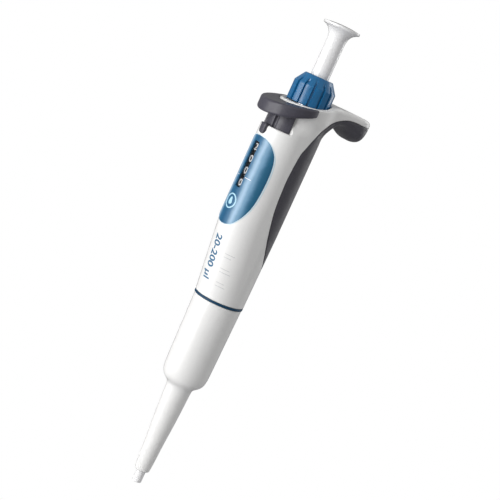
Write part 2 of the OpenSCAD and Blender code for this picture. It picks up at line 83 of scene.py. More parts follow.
# Centres and radii shared between pieces
FRONT_Y = -4.75              # middle of the front arc of the handle's oval
STEM_Y = -7.7                # middle of the ejector's round stem
COLLAR_CLEARANCE = 13.2      # radius the ejector keeps clear around the collar
FLOOR_HOLE = (-5.6, -6.9)
EJECTOR_SPRING_AT = (-6.5, -9.3)
BUTTON_STEM_R = 4.45
KNOB_R = 10.3
KNOB_GROOVES = 14

# The label's right half: (x, z)
LABEL_EDGE = [(0, 179.2), (4.5, 178.7), (7.9, 176.9), (10.2, 173.2), (11.1, 167.5),
              (11.2, 158.5), (10.7, 148.8), (9.3, 142.2), (6.6, 137.1), (3.4, 135.1), (0, 134.6)]
LABEL_MARK_Z = 145.9         # middle of the ring and drop printed on the label
DROP_R = 1.25
DROP_BULB_Z = -0.45          # middle of the drop's round end, from the ring's middle

# Number wheels
WHEEL_R = 4.7
WHEEL_HEIGHT = 5.9
FIGURE_UP = 2.97             # middle of the figures above a wheel's foot
MARK_UP = 5.97               # the marks beside the window, above the lowest wheel's foot
SHOWN = {"tenths": 0, "units": 0, "tens": 0, "hundreds": 2}

SURFACE_STEP = 0.4
EJECTOR_STEP = 0.3
GUIDE_STEP = 0.16
TURNED_SEGMENTS = 144
GROOVE_SEGMENTS = 30


# ---------------------------------------------------------------- shader nodes

def empty_tree(owner):
    owner.use_nodes = True
    owner.node_tree.nodes.clear()
    return owner.node_tree


def add_node(tree, kind, inputs=None, **settings):
    """A shader node. Each input is given a value, or linked if it is another node's output."""
    node = tree.nodes.new("ShaderNode" + kind)
    for key, value in settings.items():
        setattr(node, key, value)
    for key, value in (inputs or {}).items():
        if isinstance(value, bpy.types.NodeSocket):
            tree.links.new(value, node.inputs[key])
        else:
            node.inputs[key].default_value = value
    return node


def noise(tree, coords, scale, detail=2.0):
    inputs = {"Vector": coords, "Scale": scale, "Detail": detail}
    return add_node(tree, "TexNoise", inputs).outputs["Fac"]


def map_range(tree, value, to=(0.0, 1.0), source=(0.0, 1.0)):
    return add_node(tree, "MapRange", {
        "Value": value, "From Min": source[0], "From Max": source[1],
        "To Min": to[0], "To Max": to[1]}).outputs[0]


def color_ramp(tree, value, stops, interpolation="LINEAR"):
    """stops: (position, (red, green, blue)), in rising order."""
    node = add_node(tree, "ValToRGB", {0: value})
    ramp = node.color_ramp
    ramp.interpolation = interpolation
    for element, (position, rgb) in zip(ramp.elements, (stops[0], stops[-1])):
        element.color = (*rgb, 1)
        element.position = position
    for position, rgb in stops[1:-1]:
        ramp.elements.new(position).color = (*rgb, 1)
    return node.outputs[0]


def bump(tree, height, strength):
    inputs = {"Strength": strength, "Distance": 0.0001, "Height": height}
    return add_node(tree, "Bump", inputs).outputs[0]


def camera_switch(tree, lit, seen):
    """The shader `seen` for camera rays and `lit` for all others."""
    is_camera = add_node(tree, "LightPath").outputs["Is Camera Ray"]
    return add_node(tree, "MixShader", {0: is_camera, 1: lit, 2: seen}).outputs[0]


# ---------------------------------------------------------------- materials

def material(name, base, rough=0.4, metal=0.0, coat=0.0, vary=0.03, rough_vary=0.06, grain=900.0,
             relief=0.04, relief_scale=2500.0, spec=0.5, alpha=1.0, pattern="noise", sheen=0.0,
             rim=0.0):
    """A procedural finish: colour, roughness and bump each vary with their own pattern.

    vary and rough_vary are how far colour and roughness stray, grain the scale of both.
    relief is the bump's strength. rim is how much painted shade darkens the colour at grazing
    angles, standing in for the shaded outline of the edges.
    """
    made = bpy.data.materials.new(name)
    tree = empty_tree(made)
    coords = add_node(tree, "TexCoord").outputs["Object"]
    color = color_ramp(tree, noise(tree, coords, grain, 4), [
        (0.3, [c * (1 - vary) for c in base]),
        (0.7, [min(1.0, c * (1 + vary)) for c in base])])
    # Painted shade: the colour darkens where the surface turns away from view, as the edges would
    # in shade.
    if rim:
        facing = add_node(tree, "LayerWeight", {"Blend": 0.5}).outputs["Facing"]
        shade = color_ramp(tree, facing, [(0.74, [1] * 3), (0.97, [1 - rim] * 3)])
        color = add_node(tree, "Mix", {"Factor": 1.0, "A": color, "B": shade},
                         data_type="RGBA", blend_type="MULTIPLY").outputs["Result"]
    roughness = map_range(tree, noise(tree, coords, grain * 0.37, 3), source=(0.25, 0.75),
                          to=(max(0.02, rough - rough_vary), min(1.0, rough + rough_vary)))
    if pattern == "voronoi":
        inputs = {"Vector": coords, "Scale": relief_scale}
        height = add_node(tree, "TexVoronoi", inputs).outputs["Distance"]
    elif pattern == "turned":
        # Stretched sideways, so that it reads as fine rings round z
        inputs = {"Vector": coords, "Scale": (0.05, 0.05, 1.0)}
        height = noise(tree, add_node(tree, "Mapping", inputs).outputs[0], relief_scale, 4)
    else:
        height = noise(tree, coords, relief_scale, 3)
    shader = add_node(tree, "BsdfPrincipled", {
        "Base Color": color, "Roughness": roughness, "Normal": bump(tree, height, relief),
        "Metallic": metal, "Specular IOR Level": spec, "Coat Weight": coat,
        "Coat Roughness": 0.12, "Sheen Weight": sheen, "Alpha": alpha})
    add_node(tree, "OutputMaterial", {0: shader.outputs[0]})
    made.diffuse_color = (*base, 1.0)
    return made


def label_material():
    """Printed blue with a painted highlight: a pale band to each side, half way between the
    middle and the edge.
    """
    made = bpy.data.materials.new("label_blue")
    tree = empty_tree(made)
    coords = add_node(tree, "TexCoord").outputs["Object"]
    x = add_node(tree, "SeparateXYZ", {0: coords}).outputs["X"]
    sideways = add_node(tree, "Math", {0: x}, operation="ABSOLUTE").outputs[0]
    across = map_range(tree, sideways, source=(0.0, 0.0115))
    mottle = noise(tree, coords, 260)
    waver = map_range(tree, mottle, to=(-0.05, 0.05))
    place = add_node(tree, "Math", {0: across, 1: waver}, operation="ADD").outputs[0]
    # The pale stop is a painted highlight band on the printed blue.
    color = color_ramp(tree, place, [
        (0.0, (0.004, 0.085, 0.190)), (0.22, (0.006, 0.105, 0.225)),
        (0.46, (0.260, 0.420, 0.580)), (0.62, (0.090, 0.240, 0.390)),
        (0.84, (0.003, 0.092, 0.185)), (1.0, (0.003, 0.080, 0.165))], "EASE")
    roughness = map_range(tree, mottle, to=(0.34, 0.46))
    shader = add_node(tree, "BsdfPrincipled", {
        "Base Color": color, "Roughness": roughness,
        "Normal": bump(tree, noise(tree, coords, 1500), 0.02),
        "Coat Weight": 0.05, "Coat Roughness": 0.15})
    add_node(tree, "OutputMaterial", {0: shader.outputs[0]})
    return made


FINISHES = {
    # rim=0.5: painted shade, the white darkening at grazing angles
    "white_gloss": dict(base=(0.80, 0.80, 0.795), rough=0.34, coat=0.15, vary=0.012,
                        relief=0.03, relief_scale=1800, rim=0.5),
    # rim=0.5: painted shade, the white darkening at grazing angles
    "button_white": dict(base=(0.83, 0.83, 0.84), rough=0.26, coat=0.25, vary=0.012,
                         relief=0.02, relief_scale=1500, rim=0.5),
    "soft_charcoal": dict(base=(0.050, 0.048, 0.062), rough=0.50, vary=0.18, relief=0.35,
                          relief_scale=3800, pattern="voronoi", grain=2200, sheen=0.15),
    "charcoal_plastic": dict(base=(0.052, 0.050, 0.068), vary=0.12, relief=0.12,
                             relief_scale=3200, grain=1500),
    "knob_blue": dict(base=(0.001, 0.115, 0.285), rough=0.34, coat=0.2, vary=0.10,
                      relief=0.06, relief_scale=2600),
    "window_clear": dict(base=(0.03, 0.035, 0.04), rough=0.08, alpha=0.12, vary=0.01,
                         rough_vary=0.02, relief=0.005),
    "ring_navy": dict(base=(0.003, 0.045, 0.100), rough=0.5, spec=0.3, vary=0.10, relief=0.03),
    "pale_grey": dict(base=(0.55, 0.57, 0.58), rough=0.46, relief=0.05),
    "acetal": dict(base=(0.66, 0.63, 0.52), rough=0.42, vary=0.04, relief=0.05),
    "wheel_black": dict(base=(0.014, 0.013, 0.018), rough=0.5, vary=0.15, relief=0.06),
    "steel": dict(base=(0.56, 0.56, 0.57), rough=0.26, metal=1.0, vary=0.05, relief=0.10,
                  relief_scale=9000, pattern="turned"),
    "spring_steel": dict(base=(0.42, 0.42, 0.43), rough=0.32, metal=1.0, vary=0.06,
                         relief=0.06, relief_scale=4000),
    "brass": dict(base=(0.60, 0.42, 0.16), rough=0.28, metal=1.0, vary=0.06, relief=0.10,
                  relief_scale=9000, pattern="turned"),
    "ptfe": dict(base=(0.74, 0.74, 0.71), rough=0.5, vary=0.02),
    "seal_rubber": dict(base=(0.012, 0.012, 0.012), rough=0.55, vary=0.2, relief=0.1),
}
PRINT_FINISHES = {
    "print_white": dict(base=(0.88, 0.88, 0.88), vary=0.02, relief=0.02),
    "print_teal": dict(base=(0.012, 0.115, 0.235), vary=0.05, relief=0.02),
    "print_grey": dict(base=(0.60, 0.61, 0.62), vary=0.02, relief=0.02),
    "print_pale_blue": dict(base=(0.42, 0.68, 0.82), relief=0.02),
    "edge_pale": dict(base=(0.60, 0.74, 0.82), rough=0.3, vary=0.02, relief=0.02),
}
MATERIALS = {name: material(name, **finish) for name, finish in FINISHES.items()}
MATERIALS["label_blue"] = label_material()
for name, finish in PRINT_FINISHES.items():
    MATERIALS[name] = material(name, **finish)


# ---------------------------------------------------------------- meshes

def link_object(name, data):
    obj = bpy.data.objects.new(name, data)
    scene.collection.objects.link(obj)
    return obj


def add_mesh(name, verts, faces, finish, body, normals=None, smooth=True, sharp_angle=None):
    """A mesh from points in millimetres, riding on a body."""
    mesh = bpy.data.meshes.new(name)
    points = np.asarray(verts, float) * MM
    mesh.from_pydata([tuple(p) for p in points], [], [tuple(int(i) for i in f) for f in faces])
    mesh.validate()
    mesh.update()
    if smooth:
        mesh.polygons.foreach_set("use_smooth", [True] * len(mesh.polygons))
        if sharp_angle is not None:
            mesh.set_sharp_from_angle(angle=math.radians(sharp_angle))
    obj = link_object(name, mesh)
    mesh.materials.append(MATERIALS[finish])
    if normals is not None:
        mesh.normals_split_custom_set_from_vertices([tuple(n) for n in normals])
    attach(obj, body)
    return obj


def replace_node(node, verts, faces, finish, body, **options):
    """A mesh shown in place of a CAD node, in the material slot named after its finish."""
    obj = add_mesh(node + "_visible", verts, faces, finish, body, **options)
    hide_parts(node)
    return obj


def fix_normals(obj):
    bm = bmesh.new()
    bm.from_mesh(obj.data)
    bmesh.ops.recalc_face_normals(bm, faces=bm.faces)
    bm.to_mesh(obj.data)
    bm.free()


def fillet(points, radii, pieces=5):
    """Rounds the corners of an open line of (r, z) points, by one radius or one per point."""
    if not isinstance(radii, list):
        radii = [radii] * len(points)
    out = []
    for i, (point, radius) in enumerate(zip(points, radii)):
        if i in (0, len(points) - 1) or radius <= 0:
            out.append(tuple(point))
            continue
        before, corner, after = (np.array(p, float) for p in points[i - 1:i + 2])
        back, ahead = before - corner, after - corner
        back_length, ahead_length = np.linalg.norm(back), np.linalg.norm(ahead)
        back, ahead = back / back_length, ahead / ahead_length
        angle = math.acos(float(np.clip(back @ ahead, -1, 1)))
        if angle > math.pi - 0.03:  # almost straight
            out.append(tuple(point))
            continue
        # The arc takes up less than half of either side
        trim = min(radius / math.tan(angle / 2), back_length * 0.48, ahead_length * 0.48)
        arc_radius = trim * math.tan(angle / 2)
        bisector = (back + ahead) / np.linalg.norm(back + ahead)
        centre = corner + bisector * arc_radius / math.sin(angle / 2)
        first, last = (math.atan2(*(corner + side * trim - centre)[::-1])
                       for side in (back, ahead))
        sweep = (last - first + math.pi) % (2 * math.pi) - math.pi
        for k in range(pieces + 1):
            turn = first + sweep * k / pieces
            out.append((centre[0] + arc_radius * math.cos(turn),
                        centre[1] + arc_radius * math.sin(turn)))
    return out


def spline(points, pieces=6):
    """A smooth line (Catmull-Rom) through points."""
    out = []
    last = len(points) - 1
    for i in range(last):
        a, b, c, d = (np.array(points[j], float)
                      for j in (max(i - 1, 0), i, i + 1, min(i + 2, last)))
        for k in range(pieces):
            t = k / pieces
            out.append(tuple(0.5 * (2 * b + (c - a) * t + (2 * a - 5 * b + 4 * c - d) * t * t
                                    + (3 * b - a - 3 * c + d) * t ** 3)))
    out.append(tuple(points[-1]))
    return out


def revolve(profile, segments, closed=True, radius_at=None):
    """Turns a line of (r, z) points about the z axis.

    A closed profile loops round; an open one starts and ends on the axis.
    radius_at(r, angle) may change the radius.
    """
    verts, faces, rows = [], [], []
    for r, z in profile:
        if r < 1e-6:
            rows.append([len(verts)])
            verts.append((0, 0, z))
            continue
        rows.append(range(len(verts), len(verts) + segments))
        for k in range(segments):
            angle = 2 * math.pi * k / segments
            reach = radius_at(r, angle) if radius_at else r
            verts.append((reach * math.cos(angle), reach * math.sin(angle), z))
    pairs = list(zip(rows, rows[1:]))
    if closed:
        pairs.append((rows[-1], rows[0]))
    for lower, upper in pairs:
        for k in range(segments):
            after = (k + 1) % segments
            if len(lower) == 1:
                faces.append((lower[0], upper[after], upper[k]))
            elif len(upper) == 1:
                faces.append((lower[k], lower[after], upper[0]))
            else:
                faces.append((lower[k], lower[after], upper[after], upper[k]))
    return verts, faces


def replace_turned(node, profile, finish, body, segments=TURNED_SEGMENTS, sharp_angle=38,
                   **options):
    verts, faces = revolve(profile, segments, **options)
    fix_normals(replace_node(node, verts, faces, finish, body, sharp_angle=sharp_angle))


# ---------------------------------------------------------------- distance fields
# A field is negative inside its shape and positive outside.

def capsule(x, y, y_front, y_back, radius):
    nearest = np.clip(y, y_front, y_back)
    return np.sqrt(x * x + (y - nearest) ** 2) - radius


def disc(x, y, centre_x, centre_y, radius):
    return np.sqrt((x - centre_x) ** 2 + (y - centre_y) ** 2) - radius


def slab(z, low, high):
    return np.maximum(low - z, z - high)


def block(x, y, z, low, high):
    q = [np.abs(v - (a + b) / 2) - (b - a) / 2 for v, a, b in zip((x, y, z), low, high)]
    outside = np.sqrt(sum(np.maximum(k, 0) ** 2 for k in q))
    return outside + np.minimum(overlap(*q), 0)


def union(*fields):
    return reduce(np.minimum, fields)


def overlap(*fields):
    return reduce(np.maximum, fields)


def soft_union(a, b, width):
    """A union with its crease rounded over the given width."""
    h = np.maximum(width - np.abs(a - b), 0) / width
    return np.minimum(a, b) - h * h * width * 0.25


def soft_overlap(a, b, width):
    return -soft_union(-a, -b, width)


def cut(shape, tool, width):
    """The shape less the tool, with a rounded edge."""
    return soft_overlap(shape, -tool, width)


def ease(t):
    t = np.clip(t, 0, 1)
    return t * t * (3 - 2 * t)


class Outline:
    """Signed distance to a polygon in the (y, z) side view, looked up from a fine table."""

    def __init__(self, points, y_low=-32.0, y_high=50.0, z_low=90.0, z_high=216.0, step=0.25):
        self.origin = (y_low, z_low)
        self.step = step
        y_count = int((y_high - y_low) / step) + 1
        z_count = int((z_high - z_low) / step) + 1
        Y, Z = np.meshgrid(y_low + step * np.arange(y_count), z_low + step * np.arange(z_count),
                           indexing="ij")
        corners = np.array(points, float)
        nearest = np.full(Y.shape, 1e9)
        inside = np.zeros(Y.shape, bool)
        for (ay, az), (by, bz) in zip(corners, np.roll(corners, -1, 0)):
            ey, ez = by - ay, bz - az
            t = np.clip(((Y - ay) * ey + (Z - az) * ez) / (ey * ey + ez * ez), 0, 1)
            nearest = np.minimum(nearest, (Y - ay - t * ey) ** 2 + (Z - az - t * ez) ** 2)
            if abs(ez) > 1e-12:
                inside ^= ((az > Z) != (bz > Z)) & (Y < ey * (Z - az) / ez + ay)
        self.table = np.where(inside, -np.sqrt(nearest), np.sqrt(nearest))

    def __call__(self, y, z):
        table = self.table
        row = np.clip((y - self.origin[0]) / self.step, 0, table.shape[0] - 1.001)
        column = np.clip((z - self.origin[1]) / self.step, 0, table.shape[1] - 1.001)
        i, j = row.astype(np.int32), column.astype(np.int32)
        u, v = row - i, column - j
        return (table[i, j] * (1 - u) * (1 - v) + table[i + 1, j] * u * (1 - v)
                + table[i, j + 1] * (1 - u) * v + table[i + 1, j + 1] * u * v)


# ---------------------------------------------------------------- meshing a field

BLOCK = 8          # cells along the side of a sampling block
BLOCK_BATCH = 400  # blocks sampled at a time


def sample(field, low, high, step):
    """The field on a grid of points, worked out finely only in blocks near the surface."""
    block_counts = np.ceil((np.array(high, float) - low) / (step * BLOCK)).astype(int)
    middles = [low[a] + step * BLOCK * (np.arange(block_counts[a]) + 0.5) for a in range(3)]
    X, Y, Z = np.meshgrid(*middles, indexing="ij")
    coarse = field(X.ravel(), Y.ravel(), Z.ravel()).reshape(block_counts)
    grid = np.sign(coarse) * 1e3
    for axis in range(3):
        grid = np.repeat(grid, BLOCK, axis)
    grid = np.pad(grid.astype(np.float32), ((0, 1),) * 3, mode="edge")
    # Half a block's diagonal, with a margin as the fields aren't exact distances
    reach = step * BLOCK * math.sqrt(3) / 2 * 1.35 + 0.6
    near = np.argwhere(np.abs(coarse) < reach)
    k = np.arange(BLOCK + 1)
    offsets = np.stack(np.meshgrid(k, k, k, indexing="ij"), -1).reshape(-1, 3)
    for start in range(0, len(near), BLOCK_BATCH):
        batch = near[start:start + BLOCK_BATCH]
        index = (batch[:, None, :] * BLOCK + offsets[None]).reshape(-1, 3)
        grid[tuple(index.T)] = field(*(low + index * step).T)
    return grid


def crossed_cells(grid, low, step):
    """The cells that the surface passes through, and the mean of its crossings in each."""
    inside = grid < 0
    nx, ny, nz = np.array(grid.shape) - 1
    corners = [(i, j, k) for i in (0, 1) for j in (0, 1) for k in (0, 1)]
    inside_count = sum(inside[i:nx + i, j:ny + j, k:nz + k].astype(np.int8)
                       for i, j, k in corners)
    cells = np.argwhere((inside_count > 0) & (inside_count < 8))
    total = np.zeros((len(cells), 3))
    count = np.zeros(len(cells))
    for corner in corners:
        for axis in range(3):
            if corner[axis]:
                continue
            start = np.array(corner)
            end = start.copy()
            end[axis] = 1
            at_start = grid[tuple((cells + start).T)].astype(float)
            at_end = grid[tuple((cells + end).T)].astype(float)
            crossed = (at_start < 0) != (at_end < 0)
            share = np.where(crossed, at_start / np.where(crossed, at_start - at_end, 1), 0)
            crossing = cells + start + share[:, None] * (end - start)
            total += np.where(crossed[:, None], crossing, 0)
            count += crossed
    return cells, low + total / count[:, None] * step


def cell_quads(grid, cells):
    """A quad between the four cells round each grid edge that crosses the surface."""
    inside = grid < 0
    size = np.array(grid.shape)
    index = np.full(size - 1, -1, np.int32)
    index[tuple(cells.T)] = np.arange(len(cells))
    quads = []
    for axis in range(3):
        across = [(axis + 1) % 3, (axis + 2) % 3]
        starts, ends = [slice(None)] * 3, [slice(None)] * 3
        starts[axis] = slice(0, -1)
        ends[axis] = slice(1, None)
        edges = np.argwhere(inside[tuple(starts)] != inside[tuple(ends)])
        beside = edges[:, across]
        edges = edges[((beside > 0) & (beside < size[across] - 1)).all(1)]
        outward = inside[tuple(edges.T)]
        corners = []
        for shift in ((-1, -1), (0, -1), (0, 0), (-1, 0)):
            cell = edges.copy()
            cell[:, across] += np.array(shift)
            corners.append(index[tuple(cell.T)])
        quad = np.stack(corners, 1)
        quad[~outward] = quad[~outward][:, ::-1]
        quads.append(quad)
    quads = np.concatenate(quads)
    return quads[(quads >= 0).all(1)]


def gradient(field, points, reach):
    slope = np.zeros_like(points)
    for axis in range(3):
        shift = np.zeros(3)
        shift[axis] = reach
        slope[:, axis] = (field(*(points + shift).T) - field(*(points - shift).T)) / (2 * reach)
    return slope


def replace_with_surface(node, field, low, high, step, finish, body):
    """Shows the surface field = 0 in place of a CAD node, its vertices moved onto the surface."""
    low = np.array(low, float)
    grid = sample(field, low, high, step)
    cells, start = crossed_cells(grid, low, step)
    points = start.copy()
    for _ in range(3):
        slope = gradient(field, points, 0.02)
        steepness = np.maximum((slope * slope).sum(1), 0.2)[:, None]
        move = field(*points.T)[:, None] * slope / steepness
        points = points - np.clip(move, -0.5 * step, 0.5 * step)
    points = start + np.clip(points - start, -0.9 * step, 0.9 * step)
    slope = gradient(field, points, 0.04)
    normals = slope / np.maximum(np.linalg.norm(slope, axis=1), 1e-6)[:, None]
    replace_node(node, points, cell_quads(grid, cells), finish, body, normals=normals)


# ---------------------------------------------------------------- handle
# Lines in the side view: (y, z)

# Where the grip's soft lining meets the white shell: up the handle, then under the hook's top
grip_edge_low = spline([
    (16, 115.5), (11, 119.2), (7.4, 124.2), (4.2, 130.9), (2, 137), (0.5, 143), (-0.9, 150),
    (-1.6, 159), (-1.7, 167), (-0.75, 177.4), (0.5, 181.2), (1.8, 184.6)])
grip_edge_high = spline([
    (1.8, 184.6), (3.3, 187.7), (5, 190.6), (7.1, 193.3), (9.1, 195.8), (11.7, 197.8),
    (14.3, 199.3), (18.6, 201), (23.5, 201.6), (28.6, 201.4), (33, 201.1), (37.6, 200.4)])
# From the hook's end, along its underside and down the handle's back
hook_underside = spline([
    (37.3, 199.6), (37.0, 197.0), (35.6, 194.6), (33.0, 192.8), (29.8, 192.1), (26.6, 192.6),
    (23.6, 194.1), (21.0, 196.1), (18.8, 197.4), (16.6, 197.6), (14.4, 196.8), (12.3, 195.2),
    (10.4, 192.9), (9.0, 189.6), (8.2, 186.0), (7.7, 181.0), (7.3, 175.0), (6.8, 169.0),
    (6.0, 163.0)])
# From the hook's end to the collar
hook_top = spline([
    (37.3, 201.6), (36.6, 203.3), (34.5, 204.2), (28, 204.8), (20, 205), (14.5, 204.6),
    (11, 203.8), (8, 202.8)])

grip_side = Outline(grip_edge_low + grip_edge_high[1:] + [(48, 199), (48, 100), (20, 100)])
hook_side = Outline([(2, 200), (2, 170), (4, 164)] + hook_underside[::-1] + hook_top)


def section_at(z, grow=0.0):
    """The handle's oval at a height: y of its front and back arcs' middles, and its radius."""
    t = np.clip((z - Z_FLOOR) / (Z_TAPER - Z_FLOOR), 0, 1)
    return -0.1 + (FRONT_Y + 0.1) * t, 0.1 + 0.3 * t, 12.3 + 0.2 * t + grow


def section(x, y, z, grow=0.0):
    """The handle's oval section, almost round at the foot."""
    return capsule(x, y, *section_at(z, grow))


def hook(x, y, z):
    """The finger hook: narrower where it leaves the handle, rounded under its end."""
    end_y = 27.7  # middle of the half-round end, seen from above
    half_width = 8.3 + 1.2 * ease((y - 2) / 13)
    end = np.sqrt(x * x + np.maximum(y - end_y, 0) ** 2)
    plan = np.where(y > end_y, end, np.abs(x)) - half_width
    rounding = 1.3 + 6.7 * ease((y - 13) / 13) - 2.5 * ease((y - 27) / 8)
    rounding = rounding + (2.4 - rounding) * ease((z - 196.0) / 7.0)
    return soft_overlap(hook_side(y, z), plan, rounding)


def handle_outside(x, y, z):
    """The outside of the whole handle, before it is split between its two materials."""
    oval = section(x, y, z)
    lower = soft_overlap(oval, slab(z, Z_FLOOR, Z_LEDGE), 0.7)
    circle = np.sqrt(x * x + y * y) - (12.55 + 0.45 * ease((z - Z_COLLAR) / 6))
    # Behind the ejector the oval turns into the collar's circle
    turn = ease((z - 185.2) / 5.0)
    back = overlap(oval * (1 - turn) + circle * turn, slab(z, Z_LEDGE - 3, Z_COLLAR + 0.5),
                   -(y + 9.6))
    rim_plane = (z - (Z_RIM + 0.155 * y)) * 0.99
    collar = soft_overlap(soft_overlap(circle, rim_plane, 0.7), Z_COLLAR - z, 0.02)
    return soft_union(union(lower, back, collar), hook(x, y, z),
                      1.5 + 3.5 * ease((z - 187) / 9))


def cavity(x, y, z):
    """The handle's inside and its openings."""
    chamber_floor = Z_FLOOR + 1.8
    ledge_under = Z_LEDGE - 2.2
    floor_slab = slab(z, Z_FLOOR - 2, Z_FLOOR + 2.5)
    t = np.clip((z - Z_FLOOR - 1.8) / (Z_TAPER - Z_FLOOR - 1.8), 0, 1)
    chamber = overlap(capsule(x, y, -4.95 * t, 0.3 * t, 10.3 + 0.45 * t),
                      slab(z, chamber_floor, Z_LEDGE - 1.7))
    stem_shaft = overlap(disc(x, y, 0, STEM_Y, 8.2), slab(z, ledge_under, Z_COLLAR))
    front_shaft = overlap(disc(x, y, 0, FRONT_Y, 11.4), y + 9.6, slab(z, 178.6, Z_COLLAR))
    bore = overlap(disc(x, y, 0, 0, 7.4), slab(z, ledge_under, 189.6))
    collar_bore = overlap(disc(x, y, 0, 0, 8.05), slab(z, 189.5, 230))
    collar_recess = overlap(disc(x, y, 0, 0, 10.75), slab(z, 197.2, 230))
    front_opening = block(x, y, z, (-6.3, -25, 148), (6.3, -8, 177.6))
    guide_slot = block(x, y, z, (-2.05, -25, GUIDE_LOW + 2), (2.05, -12, GUIDE_HIGH + 3))
    guide_slot_end = overlap(disc(x, z, 0, GUIDE_LOW + 2.05, 2.05), y + 12)
    floor_bore = overlap(disc(x, y, 0, 0, 6.7), floor_slab)
    floor_hole = overlap(disc(x, y, *FLOOR_HOLE, 1.35), floor_slab)
    return union(chamber, stem_shaft, front_shaft, bore, collar_bore, collar_recess,
                 front_opening, guide_slot, guide_slot_end, floor_bore, floor_hole)


def core(x, y, z):
    """What lies under the grip's lining: the handle's section inset, and a cylinder above it."""
    inset_oval = overlap(section(x, y, z, -1.2), z - (Z_LEDGE + 1.2))
    return union(inset_oval, overlap(disc(x, y, 0, 0, 11.6), Z_LEDGE + 0.2 - z))


def shell_field(x, y, z):
    pocket = cut(grip_side(y, z) - 0.05, core(x, y, z), 0.35)
    return cut(cut(handle_outside(x, y, z), pocket, 0.45), cavity(x, y, z), 0.4)


def grip_field(x, y, z):
    lining = soft_overlap(handle_outside(x, y, z), grip_side(y, z) + 0.07, 0.5)
    return cut(cut(lining, core(x, y, z) - 0.04, 0.3), cavity(x, y, z) - 0.6, 0.3)


replace_with_surface("handle_shell", shell_field, (-14, -18.6, Z_FLOOR - 1), (14, 38.6, 206.6),
                     SURFACE_STEP, "white_gloss", "handle")
replace_with_surface("grip_lining", grip_field, (-14, -4, 113), (14, 38.6, 206),
                     SURFACE_STEP, "soft_charcoal", "handle")

# ---------------------------------------------------------------- ejector button and guide

# What is cut away below and above the thumb pad, in the side view: (y, z)
below_pad = Outline([(-30, 150), (-30, 187.6), (-22.8, 189.4), (-14, 192.3), (-1, 197.2),
                     (8, 197.2), (8, 150)], z_low=150.0)
above_pad = Outline([(-30, 214), (-30, 195), (-22.8, 195.9), (-12, 198.3), (-1, 200.7),
                     (8, 200.7), (8, 214)], z_low=150.0)
EJECTOR_LOW = heights("ejector_button")[0]


def ejector_pad(x, y, z):
    """The thumb pad, a crescent round the front of the collar."""
    collar = disc(x, y, 0, 0, COLLAR_CLEARANCE)
    pad = cut(disc(x, y, 0, -7.75, 15.0), collar, 0.2)
    pad = soft_overlap(pad, y + 2.0, 0.4)
    pad = cut(pad, below_pad(y, z), 0.6 + 0.9 * ease((-4 - y) / 8))
    pad = cut(pad, above_pad(y, z), 1.1)
    handle_room = overlap(section(x, y, z, 0.2), -(y + 9.8), z - 196.5)
    return cut(pad, handle_room, 0.25)


def ejector_field(x, y, z):
    wide_front = soft_overlap(disc(x, y, 0, FRONT_Y, 11.2), y + 9.75, 0.5)
    stem = soft_union(disc(x, y, 0, STEM_Y, 8.0), wide_front, 0.4)
    for side in (-1, 1):
        groove = overlap(disc(x, y, side * 3.6, -15.2, 1.0), z - 191.0)
        stem = cut(stem, groove, 0.6)
    stem = soft_overlap(stem, slab(z, EJECTOR_LOW, 195.0), 0.6)
    stem = cut(stem, overlap(disc(x, y, 0, 0, COLLAR_CLEARANCE), 190.0 - z), 0.3)
    button = soft_union(stem, ejector_pad(x, y, z), 0.9)
    button = cut(button, disc(x, y, 0, 0, 7.3), 0.3)
    spring_hole = overlap(disc(x, y, *EJECTOR_SPRING_AT, 1.03), z - 187)
    return overlap(button, -spring_hole)


def guide_field(x, y, z):
    """An upright key with a round foot, curved to follow the ejector's stem."""
    bar = block(x, y, z, (-2, -19, GUIDE_LOW + 2), (2, -14, GUIDE_HIGH))
    foot = overlap(disc(x, z, 0, GUIDE_LOW + 2, 2), slab(y, -19, -14))
    ring = overlap(disc(x, y, 0, STEM_Y, 10.7), -disc(x, y, 0, STEM_Y, 8.5))
    key = soft_overlap(soft_union(bar, foot, 0.1), ring, 0.5)
    return soft_overlap(key, z - GUIDE_HIGH, 0.4)


replace_with_surface("ejector_button", ejector_field, (-16, -24, EJECTOR_LOW - 1), (16, 0, 202),
                     EJECTOR_STEP, "charcoal_plastic", "ejector")
replace_with_surface("stem_guide", guide_field, (-3, -20, GUIDE_LOW - 1),
                     (3, -13, GUIDE_HIGH + 1), GUIDE_STEP, "charcoal_plastic", "handle")

# ---------------------------------------------------------------- turned pieces
# Profiles: (r, z)


def ejector_shell():
    """The long lower shell."""
    foot, top = heights("ejector_shell")
    outer = spline([
        (3.55, foot + 0.25), (3.78, foot + 0.6), (4.0, 9), (4.28, 13), (4.55, 19), (4.95, 25.3),
        (5.35, 30.8), (5.8, 38), (6.08, 44), (6.30, 49.2), (6.5, 51.8), (6.95, 53.1), (8, 54.2),
        (9.5, 55.5), (10.6, 57.2), (11.1, 59.4), (11.35, 62), (11.62, 74)], 5)
    rim_start = (12.1, top - 0.35)
    rim = fillet([rim_start, (12.1, top), (11.6, top)], 0.3, 4)
    inner = fillet([
        (10.8, top), (10.5, 90), (9.9, 62), (9.2, 58.3), (8.1, 57), (6.8, 55.7), (5.9, 54.3),
        (5.6, 52), (5.2, 46), (4.8, 40), (4.5, 34), (4.15, 29), (3.65, 23), (3.3, 17),
        (2.95, 10.2), (2.55, 7), (2.55, foot)], 1.2, 3)
    lip = [(2.55, foot), (3.1, foot), (3.35, foot + 0.06)]
    replace_turned("ejector_shell", lip + outer + [rim_start] + rim + inner, "white_gloss",
                   "ejector")


def seam_ring():
    inner, outer = 10.9, 12.42
    seam = (inner, SEAM_LOW + 0.3)  # the profile starts and ends here
    profile = fillet([seam, (inner, SEAM_LOW), (outer, SEAM_LOW), (outer, SEAM_HIGH),
                      (inner, SEAM_HIGH), seam], 0.16, 4)
    replace_turned("seam_ring", profile, "ring_navy", "handle")


